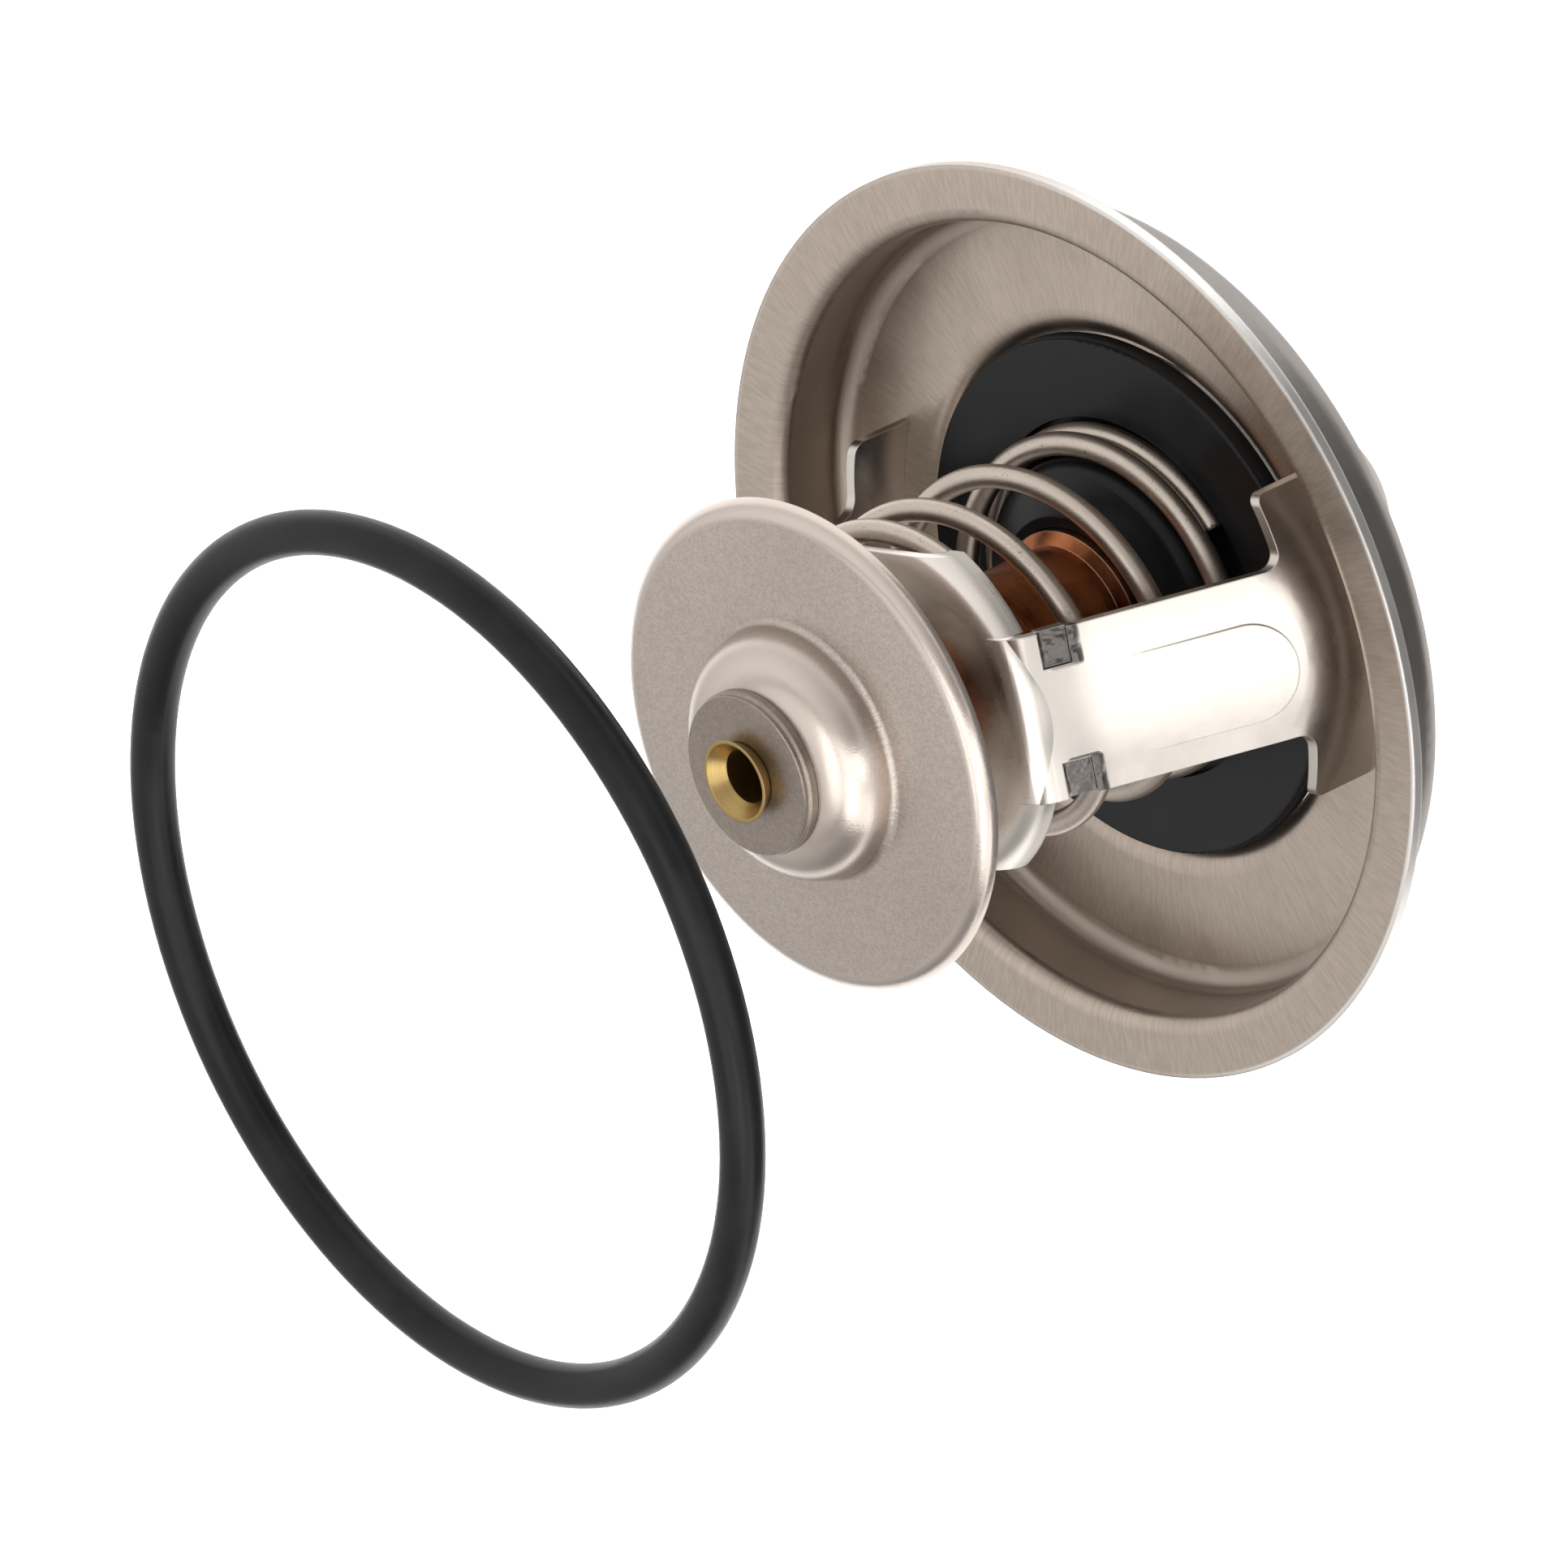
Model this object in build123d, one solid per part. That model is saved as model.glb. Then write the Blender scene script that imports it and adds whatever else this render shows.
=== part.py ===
"""Engine thermostat with a dished mounting flange, a sprung main valve and a sprung bypass disc.

Millimetres. The origin is the centre of the flange's rim face, +Z runs along the valve axis towards
the bypass end, and +X points along one leg of the lower frame. The valves are drawn closed and cold.
"""

import math
import os

from build123d import *

# ---------------------------------------------------------------- driving dimensions
# Mounting flange: a dished pressing, open in the middle
FLANGE_DIAMETER = 67.0
FLANGE_SHEET = 0.8
RIM_WIDTH = 4.4
DISH_DEPTH = 6.3
RIM_ROUND = 1.2
DISH_FLOOR_ROUND = 1.5
FLOOR_WIDTH = 10.6
SEAT_ROUND = 2.4
SEAT_NECK = 0.8

# Main valve: rubber moulded face on a steel plate
SEAL_OVERLAP = 0.5
SEAL_RISE = 0.8
SEAL_BEVEL = 1.1
SEAL_LIP = 1.4
SEAL_EDGE = 0.3
SPRING_POCKET_DEPTH = 1.15
HUB_HEIGHT = 2.5
HUB_CROWN = 2.0
HUB_ROUND = 1.4
HUB_TOP_LAND = 0.8
VALVE_PLATE_INSET = 1.4
VALVE_PLATE_SHEET = 0.8
RETAINER_RADIUS = 8.5
RETAINER_SHEET = 0.8
MAIN_LIFT = 8.0

# Wax capsule
CUP_RADIUS = 5.8
CUP_WALL = 0.5
CUP_END = 0.6
CUP_END_ROUND = 1.1
COLLAR_RADIUS = 6.7
COLLAR_TOP = -0.4
COLLAR_HEIGHT = 2.5
CRIMP_LIP = 0.6
GUIDE_RADIUS = 5.0
GUIDE_LENGTH = 12.7
GUIDE_FLANGE_HEIGHT = 1.1
GUIDE_NOSE_CHAMFER = 1.0
PISTON_RADIUS = 1.95
PLUG_RADIUS = 2.65
PLUG_LENGTH = 3.4
EXTRUSION_DISC_THICKNESS = 0.5
DIAPHRAGM_THICKNESS = 0.6

# Main spring
SPRING_WIRE = 1.7
SPRING_MEAN_RADIUS = 12.1
SPRING_TURNS = 4.6
SPRING_CLOSED_TURNS = 1.0
SPRING_OPENING_TURNS = 0.3
SPRING_CLOSING_START = 3.3
SPRING_CLOSING_TURNS = 1.0
SPRING_START_ANGLE = 30.0
SPRING_POINTS_PER_TURN = 16

# Lower frame: a round base with a turned-down rim, and two legs that end in curved feet
FRAME_SHEET = 0.8
BASE_Z = 16.7
BASE_WIDTH = 22.8
BASE_RIM_DEPTH = 1.9
BASE_RIM_ROUND = 1.7
LEG_CORNER_INSET = 0.9
LEG_BEND = 2.4
LEG_WIDTH = 12.0
LEG_MEET_Z = -3.3
FOOT_STANDOFF = 5.1
FOOT_WIDTH = 22.0
FOOT_BEND = 9.0
FOOT_TOP_Z = -1.0
FOOT_SHOULDER_ROUND = 1.2
FOOT_CORNER_ROUND = 0.8
PAD_WIDTH = 7.0
PAD_LENGTH = 14.0
PAD_END_REACH = 19.6
PAD_RISE = 0.3
PAD_START_SINK = 0.06
PAD_SHIFT = -0.7
NECK_WIDTH = 6.8
POCKET_REACH = 3.1
POCKET_LENGTH = 2.1
POCKET_DEPTH = 0.5

# Bypass disc, washer, stem and spring
DISC_RADIUS = 17.85
DISC_SHEET = 0.8
DISC_FACE_Z = 25.5
DISC_SKIRT = 1.3
DISC_SHOULDER = 1.2
DOME_RADIUS = 9.1
DOME_HEIGHT = 4.2
DOME_ROUND = 3.6
DOME_FOOT_ROUND = 0.5
WASHER_RADIUS = 5.95
WASHER_STEP = 0.17
WASHER_THICKNESS = 1.1
STEM_RADIUS = 2.45
STEM_BORE_RADIUS = 1.95
STEM_FOOT_RADIUS = 3.6
STEM_FOOT_THICKNESS = 0.8
FLARE_RADIUS = 3.0
FLARE_WALL = 0.25
FLARE_HEIGHT = 1.1
BYPASS_WIRE = 0.9
BYPASS_MEAN_RADIUS = 4.25
BYPASS_TURNS = 3.6

# Upper bridge and piston seat
BRIDGE_SHEET = 1.2
BRIDGE_WIDTH = 13.2
BRIDGE_FOOT_INSET = 2.6
BRIDGE_FOOT_STANDOFF = 4.0
BRIDGE_CROWN_HALF = 8.5
BRIDGE_CROWN_Z = -18.5
BRIDGE_BEND = 2.5
NOSE_RADIUS = 6.3
NOSE_DEPTH = 7.5
NOSE_ROUND = 1.3
NOSE_SEAT_DEPTH = 1.2

# Sealing ring, which lies apart in front of the bypass end
RING_MEAN_RADIUS = 30.8
RING_SECTION = 3.1
RING_SIDE_SHIFT = 0.4
RING_DROP = 2.6
RING_Z = 60.0
RING_TILT_X = 1.4
RING_TILT_Y = -3.4

# Clearances
RUNNING = 0.05
CLOSE = 0.02
SLIDE = 0.08
SPRING_SIDE = 0.35
LIE = 0.2
COIL_GAP = 0.05

# ---------------------------------------------------------------- places worked out from them
FLOOR_Z = -DISH_DEPTH
FLANGE_RADIUS = FLANGE_DIAMETER / 2
DISH_WALL_RADIUS = FLANGE_RADIUS - RIM_WIDTH
SEAT_RADIUS = DISH_WALL_RADIUS - FLOOR_WIDTH
SEAL_RADIUS = SEAT_RADIUS + SEAL_OVERLAP
VALVE_PLATE_RADIUS = SEAL_RADIUS - VALVE_PLATE_INSET
SEAL_TOP_Z = FLOOR_Z + SEAL_RISE
SEAL_BACK_Z = SEAL_TOP_Z - SEAL_LIP - SEAL_BEVEL
POCKET_Z = SEAL_TOP_Z - SPRING_POCKET_DEPTH
POCKET_OUTER = SPRING_MEAN_RADIUS + SPRING_WIRE / 2 + SPRING_SIDE
HUB_RADIUS = SPRING_MEAN_RADIUS - SPRING_WIRE / 2 - SPRING_SIDE
HUB_SHOULDER_Z = SEAL_TOP_Z + HUB_HEIGHT
HUB_TOP_Z = HUB_SHOULDER_Z + HUB_CROWN
PLATE_BACK_Z = SEAL_BACK_Z - VALVE_PLATE_SHEET

COLLAR_BOTTOM = COLLAR_TOP - COLLAR_HEIGHT
GUIDE_TOP_Z = COLLAR_BOTTOM + CRIMP_LIP + GUIDE_FLANGE_HEIGHT
GUIDE_NOSE_Z = COLLAR_BOTTOM + CRIMP_LIP - GUIDE_LENGTH
DIAPHRAGM_TOP_Z = GUIDE_TOP_Z + DIAPHRAGM_THICKNESS
PLUG_BASE_Z = GUIDE_TOP_Z - GUIDE_FLANGE_HEIGHT
PLUG_TOP_Z = PLUG_BASE_Z + PLUG_LENGTH
PISTON_TOP_Z = PLUG_BASE_Z - EXTRUSION_DISC_THICKNESS

DISC_INNER_TOP_Z = DISC_FACE_Z + DOME_HEIGHT - DISC_SHEET
WASHER_BASE_Z = DISC_FACE_Z + DOME_HEIGHT
WASHER_TOP_Z = WASHER_BASE_Z + WASHER_THICKNESS
STEM_TOP_Z = WASHER_TOP_Z + FLARE_HEIGHT
BYPASS_SPRING_HEIGHT = 8.4
CUP_TOP_Z = DISC_INNER_TOP_Z - BYPASS_SPRING_HEIGHT

BASE_INNER_Z = BASE_Z - FRAME_SHEET
BASE_RIM_RADIUS = POCKET_OUTER + FRAME_SHEET
FOOT_RADIUS = SEAT_RADIUS + FOOT_STANDOFF
LEG_CORNER_X = BASE_RIM_RADIUS - LEG_CORNER_INSET
LEG_SLOPE = (FOOT_RADIUS - LEG_CORNER_X) / (BASE_Z - LEG_MEET_Z)
LEG_LEAN = math.atan(LEG_SLOPE)
FOOT_END_X = math.sqrt(FOOT_RADIUS**2 - FOOT_WIDTH**2 / 4)
LEG_END_Z = BASE_Z - (FOOT_END_X - LEG_CORNER_X) / LEG_SLOPE + FOOT_BEND / 2
FRAME_LIMIT = FOOT_RADIUS + FRAME_SHEET
SPRING_LOW_Z = POCKET_Z + SPRING_WIRE / 2 + LIE
SPRING_HIGH_Z = BASE_INNER_Z - SPRING_WIRE / 2 - LIE
NOSE_END_Z = BRIDGE_CROWN_Z - NOSE_DEPTH
PISTON_SEAT_Z = NOSE_END_Z + BRIDGE_SHEET


# ---------------------------------------------------------------- shared operations
def lathe(corners):
    """Turn a closed outline of (radius, height) corners about Z; a third value rounds that corner."""
    face = make_face(Polyline(*[corner[:2] for corner in corners], close=True))
    for corner in corners:
        if len(corner) == 3:
            vertex = face.vertices().sort_by_distance(Vector(corner[0], corner[1]))[0]
            face = fillet(vertex, corner[2])
    return revolve(Plane.XZ * face, Axis.Z)


def pressing(corners, rounds, sheet):
    """Turn a sheet about Z; the corners follow its front face, and the metal lies to their left."""
    front = FilletPolyline(*corners, radius=rounds)
    return revolve(Plane.XZ * make_face(offset(front, sheet, side=Side.LEFT)), Axis.Z)


def folded_strip(corners, rounds, sheet, width, plane):
    """A strip of sheet folded along the corners in the plane, with the metal to their right."""
    front = FilletPolyline(*corners, radius=rounds)
    face = make_face(offset(front, sheet, side=Side.RIGHT))
    return extrude(plane * face, width / 2, both=True)


def upright(radius, low, high):
    """A cylinder on the valve axis between two heights."""
    return Pos(0, 0, low) * Cylinder(radius, high - low, align=(Align.CENTER, Align.CENTER, Align.MIN))


def block(x_span, y_span, z_span):
    """A box between pairs of limits."""
    sides = [span[1] - span[0] for span in (x_span, y_span, z_span)]
    middle = [(span[0] + span[1]) / 2 for span in (x_span, y_span, z_span)]
    return Pos(*middle) * Box(*sides)


def coil(points, radius):
    """Round wire swept along a smooth line through the points."""
    line = Spline(*points)
    section = Plane(line @ 0, z_dir=line % 0) * Circle(radius)
    return sweep(section, path=line, is_frenet=True)


# ---------------------------------------------------------------- fixed pieces
def make_mounting_flange():
    """Flat rim, dished wall, floor and the rounded seat of the main valve."""
    corners = [
        (FLANGE_RADIUS, 0),
        (DISH_WALL_RADIUS, 0),
        (DISH_WALL_RADIUS, FLOOR_Z),
        (SEAT_RADIUS, FLOOR_Z),
        (SEAT_RADIUS, FLOOR_Z - SEAT_ROUND - SEAT_NECK),
    ]
    return pressing(corners, [RIM_ROUND, DISH_FLOOR_ROUND, SEAT_ROUND], FLANGE_SHEET)


def leg_outer(z):
    """How far out the leg's outer face lies at a height."""
    return LEG_CORNER_X + LEG_SLOPE * (BASE_Z - z)


def leg_frame(reach):
    """Axes on the leg's outer face, so far down from its corner: x across it, y up it, z out of it."""
    x = LEG_CORNER_X + reach * math.sin(LEG_LEAN)
    z = BASE_Z - reach * math.cos(LEG_LEAN)
    outward = (math.cos(LEG_LEAN), 0, math.sin(LEG_LEAN))
    return Plane(origin=(x, 0, z), x_dir=(0, 1, 0), z_dir=outward)


def foot_core(inset):
    """What lies inside both the foot's round wall and the leg's slope, both moved in by the inset."""
    skew_inset = inset / math.cos(LEG_LEAN)
    low = (leg_outer(FLOOR_Z) - skew_inset, FLOOR_Z)
    high = (leg_outer(LEG_END_Z) - skew_inset, LEG_END_Z)
    slope = make_face(Polyline((0, FLOOR_Z), low, high, (0, LEG_END_Z), close=True))
    wedge = extrude(Plane.XZ * slope, FOOT_WIDTH / 2, both=True)
    core = wedge & upright(FOOT_RADIUS - inset, FLOOR_Z, LEG_END_Z)
    return fillet(core.edges().filter_by(GeomType.ELLIPSE), FOOT_BEND - inset)


def make_foot():
    """The leg's end bending into the curved foot, cut to its shouldered outline, on the +X side."""
    foot = Pos(0, (FLOOR_Z + FOOT_TOP_Z) / 2) * Rectangle(FOOT_WIDTH, FOOT_TOP_Z - FLOOR_Z)
    top_corners = foot.vertices().sort_by(Axis.Y)[2:]
    outline = fillet(top_corners, FOOT_CORNER_ROUND)
    outline += Pos(0, (FLOOR_Z + LEG_END_Z) / 2) * Rectangle(LEG_WIDTH, LEG_END_Z - FLOOR_Z)
    for side in (-1, 1):
        shoulder = outline.vertices().sort_by_distance((side * LEG_WIDTH / 2, FOOT_TOP_Z, 0))[0]
        outline = fillet(shoulder, FOOT_SHOULDER_ROUND)
    return (foot_core(0) - foot_core(FRAME_SHEET)) & extrude(Plane.YZ * outline, FRAME_LIMIT)


def make_pad(high, low):
    """The leg's embossed pad between two depths below its face, which rises out of the leg towards its end."""
    tilt = math.degrees(math.atan((PAD_RISE + PAD_START_SINK) / PAD_LENGTH))
    slot = Rot(0, 0, 90) * SlotOverall(PAD_LENGTH, PAD_WIDTH)
    plate = Pos(PAD_SHIFT, PAD_LENGTH / 2, -low) * extrude(slot, low - high)
    return leg_frame(PAD_END_REACH) * Pos(0, 0, PAD_RISE) * Rot(-tilt, 0, 0) * plate


def make_pocket(side, high, low):
    """A square patch beside the leg's neck, between two depths below its outer face."""
    across = (LEG_WIDTH - NECK_WIDTH) / 2
    middle = side * (NECK_WIDTH + across) / 2
    patch = Pos(middle, 0, -(high + low) / 2) * Box(across, POCKET_LENGTH, low - high)
    return leg_frame(POCKET_REACH) * patch


def make_half_frame():
    """The +X half of the lower frame: base, turned-down rim, leg with its pad, and curved foot."""
    rim = [
        (BASE_RIM_RADIUS, BASE_Z - BASE_RIM_DEPTH),
        (BASE_RIM_RADIUS, BASE_Z),
        (0, BASE_Z),
    ]
    leg_half = LEG_WIDTH / 2
    base = pressing(rim, [BASE_RIM_ROUND], FRAME_SHEET)
    base &= block((0, FRAME_LIMIT), (-BASE_WIDTH / 2, BASE_WIDTH / 2), (0, BASE_Z))
    base -= block((LEG_CORNER_X - LEG_BEND, FRAME_LIMIT), (-leg_half, leg_half), (0, BASE_Z))
    corners = [(0, BASE_Z), (LEG_CORNER_X, BASE_Z), (leg_outer(LEG_END_Z), LEG_END_Z)]
    leg = folded_strip(corners, LEG_BEND, FRAME_SHEET, LEG_WIDTH, Plane.XZ)
    leg &= block((0, FRAME_LIMIT), (-leg_half, leg_half), (LEG_END_Z, BASE_Z))
    half = base + leg + make_foot()
    half += make_pad(0, FRAME_SHEET)
    half -= make_pad(FRAME_SHEET, 2 * FRAME_SHEET)
    for side in (-1, 1):
        half += make_pocket(side, FRAME_SHEET / 2, FRAME_SHEET + POCKET_DEPTH)
        half -= make_pocket(side, -FRAME_SHEET, POCKET_DEPTH)
    return half


def make_lower_frame():
    """Both halves, with the hole that guides the capsule."""
    half = make_half_frame()
    frame = half + mirror(half, Plane.YZ)
    return frame - upright(CUP_RADIUS + SLIDE, LEG_END_Z, BASE_Z + FRAME_SHEET)


def make_upper_bridge():
    """Folded strap across the flange's back, with the pressed cup that holds the piston's end."""
    foot_z = FLOOR_Z - FLANGE_SHEET
    foot_end = DISH_WALL_RADIUS - BRIDGE_FOOT_INSET
    foot_start = SEAT_RADIUS + BRIDGE_FOOT_STANDOFF
    corners = [
        (-foot_end, foot_z),
        (-foot_start, foot_z),
        (-BRIDGE_CROWN_HALF, BRIDGE_CROWN_Z),
        (BRIDGE_CROWN_HALF, BRIDGE_CROWN_Z),
        (foot_start, foot_z),
        (foot_end, foot_z),
    ]
    strap = folded_strip(corners, BRIDGE_BEND, BRIDGE_SHEET, BRIDGE_WIDTH, Plane.YZ)
    throat = PISTON_RADIUS + RUNNING
    nose = lathe(
        [
            (0, NOSE_END_Z),
            (NOSE_RADIUS, NOSE_END_Z, NOSE_ROUND),
            (NOSE_RADIUS, BRIDGE_CROWN_Z),
            (0, BRIDGE_CROWN_Z),
        ]
    )
    hollow = lathe(
        [
            (0, PISTON_SEAT_Z),
            (throat, PISTON_SEAT_Z),
            (throat, PISTON_SEAT_Z + NOSE_SEAT_DEPTH),
            (NOSE_RADIUS - BRIDGE_SHEET, BRIDGE_CROWN_Z),
            (0, BRIDGE_CROWN_Z),
        ]
    )
    return strap + nose - hollow


def make_piston():
    """Ground pin from the bridge's cup to the capsule's plug."""
    return upright(PISTON_RADIUS, PISTON_SEAT_Z, PISTON_TOP_Z)


def spring_height(turn):
    """Height of the main spring's wire after so many turns: closed end, open coils, flat end."""
    closed_pitch = SPRING_WIRE + COIL_GAP
    opened = SPRING_CLOSED_TURNS + SPRING_OPENING_TURNS
    full_turns = SPRING_CLOSING_START - opened + (SPRING_OPENING_TURNS + SPRING_CLOSING_TURNS) / 2
    closed_rise = closed_pitch * (SPRING_CLOSED_TURNS + SPRING_OPENING_TURNS / 2)
    open_pitch = (SPRING_HIGH_Z - SPRING_LOW_Z - closed_rise) / full_turns
    rise = closed_pitch * min(turn, SPRING_CLOSED_TURNS)
    opening = min(max(turn - SPRING_CLOSED_TURNS, 0), SPRING_OPENING_TURNS)
    rise += closed_pitch * opening + (open_pitch - closed_pitch) * opening**2 / (2 * SPRING_OPENING_TURNS)
    rise += open_pitch * max(min(turn, SPRING_CLOSING_START) - opened, 0)
    closing = min(max(turn - SPRING_CLOSING_START, 0), SPRING_CLOSING_TURNS)
    rise += open_pitch * (closing - closing**2 / (2 * SPRING_CLOSING_TURNS))
    return SPRING_LOW_Z + rise


def make_main_spring():
    """Compression spring between the valve face and the frame's base."""
    count = round(SPRING_TURNS * SPRING_POINTS_PER_TURN)
    points = []
    for index in range(count + 1):
        turn = index / SPRING_POINTS_PER_TURN
        angle = math.radians(SPRING_START_ANGLE + 360 * turn)
        x = SPRING_MEAN_RADIUS * math.cos(angle)
        y = SPRING_MEAN_RADIUS * math.sin(angle)
        points.append((x, y, spring_height(turn)))
    return coil(points, SPRING_WIRE / 2)


def make_sealing_ring():
    """Round rubber ring for the housing joint, lying apart from the valve."""
    ring = Torus(RING_MEAN_RADIUS, RING_SECTION / 2)
    return Pos(RING_SIDE_SHIFT, -RING_DROP, RING_Z) * Rot(RING_TILT_X, RING_TILT_Y, 0) * ring


# ---------------------------------------------------------------- main valve and capsule
def make_valve_seal():
    """Moulded rubber face: bevelled seat, spring pocket and rounded hub round the capsule."""
    bore = GUIDE_RADIUS + RUNNING
    pocket = COLLAR_RADIUS + RUNNING
    shelf = COLLAR_BOTTOM - RUNNING
    return lathe(
        [
            (bore, SEAL_BACK_Z),
            (SEAL_RADIUS - SEAL_BEVEL, SEAL_BACK_Z),
            (SEAL_RADIUS, SEAL_BACK_Z + SEAL_BEVEL),
            (SEAL_RADIUS, SEAL_TOP_Z, SEAL_EDGE),
            (POCKET_OUTER, SEAL_TOP_Z),
            (POCKET_OUTER, POCKET_Z),
            (HUB_RADIUS, POCKET_Z),
            (HUB_RADIUS, HUB_SHOULDER_Z, HUB_ROUND),
            (pocket + HUB_TOP_LAND, HUB_TOP_Z, SEAL_EDGE),
            (pocket, HUB_TOP_Z),
            (pocket, shelf),
            (bore, shelf),
        ]
    )


def make_valve_plate():
    """Flat steel disc that backs the rubber."""
    disc = upright(VALVE_PLATE_RADIUS, PLATE_BACK_Z, SEAL_BACK_Z)
    return disc - upright(GUIDE_RADIUS + CLOSE, PLATE_BACK_Z, SEAL_BACK_Z)


def make_valve_retainer():
    """Ring pressed on the capsule behind the plate."""
    low = PLATE_BACK_Z - RETAINER_SHEET
    return upright(RETAINER_RADIUS, low, PLATE_BACK_Z) - upright(GUIDE_RADIUS + CLOSE, low, PLATE_BACK_Z)


def make_capsule_cup():
    """Drawn copper cup, with its mouth crimped round the guide's flange."""
    inner = CUP_RADIUS - CUP_WALL
    pocket = COLLAR_RADIUS - CUP_WALL - CLOSE
    shoulder = COLLAR_TOP + (COLLAR_RADIUS - CUP_RADIUS) / 2
    return lathe(
        [
            (0, CUP_TOP_Z),
            (CUP_RADIUS, CUP_TOP_Z, CUP_END_ROUND),
            (CUP_RADIUS, shoulder),
            (COLLAR_RADIUS, COLLAR_TOP),
            (COLLAR_RADIUS, COLLAR_BOTTOM),
            (GUIDE_RADIUS + RUNNING, COLLAR_BOTTOM),
            (GUIDE_RADIUS + RUNNING, COLLAR_BOTTOM + CRIMP_LIP),
            (pocket, COLLAR_BOTTOM + CRIMP_LIP),
            (pocket, DIAPHRAGM_TOP_Z),
            (inner, DIAPHRAGM_TOP_Z),
            (inner, CUP_TOP_Z - CUP_END),
            (0, CUP_TOP_Z - CUP_END),
        ]
    )


def make_capsule_guide():
    """Turned brass body that slides on the piston, with the flange that the cup is crimped over."""
    flange_radius = COLLAR_RADIUS - CUP_WALL - CLOSE - RUNNING
    bore = PISTON_RADIUS + RUNNING
    chamber = PLUG_RADIUS + RUNNING
    return lathe(
        [
            (bore, GUIDE_NOSE_Z),
            (GUIDE_RADIUS - GUIDE_NOSE_CHAMFER, GUIDE_NOSE_Z),
            (GUIDE_RADIUS, GUIDE_NOSE_Z + GUIDE_NOSE_CHAMFER),
            (GUIDE_RADIUS, PLUG_BASE_Z),
            (flange_radius, PLUG_BASE_Z),
            (flange_radius, GUIDE_TOP_Z),
            (chamber, GUIDE_TOP_Z),
            (chamber, PISTON_TOP_Z),
            (bore, PISTON_TOP_Z),
        ]
    )


def make_anti_extrusion_disc():
    """Hard plastic disc between the piston and the plug."""
    return upright(PLUG_RADIUS, PISTON_TOP_Z, PLUG_BASE_Z)


def make_rubber_plug():
    """Rubber plug that passes the diaphragm's push to the piston."""
    return lathe([(0, PLUG_BASE_Z), (PLUG_RADIUS, PLUG_BASE_Z), (PLUG_RADIUS, PLUG_TOP_Z, PLUG_RADIUS / 2), (0, PLUG_TOP_Z)])


def make_diaphragm():
    """Rubber membrane, clamped at its rim and dished into the wax over the plug."""
    rim = COLLAR_RADIUS - CUP_WALL - CLOSE - RUNNING
    inner = PLUG_RADIUS + RUNNING
    outer = inner + DIAPHRAGM_THICKNESS
    inner_top = PLUG_TOP_Z
    return lathe(
        [
            (0, inner_top),
            (inner, inner_top, PLUG_RADIUS / 2),
            (inner, GUIDE_TOP_Z),
            (rim, GUIDE_TOP_Z),
            (rim, DIAPHRAGM_TOP_Z),
            (outer, DIAPHRAGM_TOP_Z),
            (outer, inner_top + DIAPHRAGM_THICKNESS, PLUG_RADIUS / 2),
            (0, inner_top + DIAPHRAGM_THICKNESS),
        ]
    )


def make_wax_charge():
    """Expansion wax that fills the cup round the diaphragm."""
    radius = CUP_RADIUS - CUP_WALL - RUNNING
    hollow = PLUG_RADIUS + DIAPHRAGM_THICKNESS + 2 * RUNNING
    return lathe(
        [
            (0, PLUG_TOP_Z + DIAPHRAGM_THICKNESS),
            (hollow, PLUG_TOP_Z + DIAPHRAGM_THICKNESS),
            (hollow, DIAPHRAGM_TOP_Z),
            (radius, DIAPHRAGM_TOP_Z),
            (radius, CUP_TOP_Z - CUP_END),
            (0, CUP_TOP_Z - CUP_END),
        ]
    )


# ---------------------------------------------------------------- bypass valve
def make_bypass_stem():
    """Brass tube on the capsule's end, with a foot and a flared mouth that keeps the washer on."""
    flare_start = WASHER_TOP_Z
    return lathe(
        [
            (0, CUP_TOP_Z),
            (STEM_FOOT_RADIUS, CUP_TOP_Z),
            (STEM_FOOT_RADIUS, CUP_TOP_Z + STEM_FOOT_THICKNESS),
            (STEM_RADIUS, CUP_TOP_Z + STEM_FOOT_THICKNESS),
            (STEM_RADIUS, flare_start),
            (FLARE_RADIUS, STEM_TOP_Z),
            (FLARE_RADIUS - FLARE_WALL, STEM_TOP_Z),
            (STEM_BORE_RADIUS, flare_start),
            (STEM_BORE_RADIUS, CUP_TOP_Z + STEM_FOOT_THICKNESS),
            (0, CUP_TOP_Z + STEM_FOOT_THICKNESS),
        ]
    )


def make_stem_washer():
    """Thick punched washer; its lower half keeps the torn, slightly wider edge of the punch."""
    bore = STEM_RADIUS + RUNNING
    half_z = WASHER_BASE_Z + WASHER_THICKNESS / 2
    face_radius = WASHER_RADIUS - WASHER_STEP
    return lathe(
        [
            (bore, WASHER_BASE_Z),
            (WASHER_RADIUS, WASHER_BASE_Z),
            (WASHER_RADIUS, half_z),
            (face_radius, half_z + WASHER_STEP),
            (face_radius, WASHER_TOP_Z, WASHER_STEP / 2),
            (bore, WASHER_TOP_Z),
        ]
    )


def make_bypass_disc():
    """Pressed disc with a turned-back edge and a domed hub that slides on the stem."""
    corners = [
        (DISC_RADIUS, DISC_FACE_Z - DISC_SKIRT),
        (DISC_RADIUS, DISC_FACE_Z),
        (DOME_RADIUS, DISC_FACE_Z),
        (DOME_RADIUS, WASHER_BASE_Z),
        (STEM_RADIUS + SLIDE, WASHER_BASE_Z),
    ]
    return pressing(corners, [DISC_SHOULDER, DOME_FOOT_ROUND, DOME_ROUND], DISC_SHEET)


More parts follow.
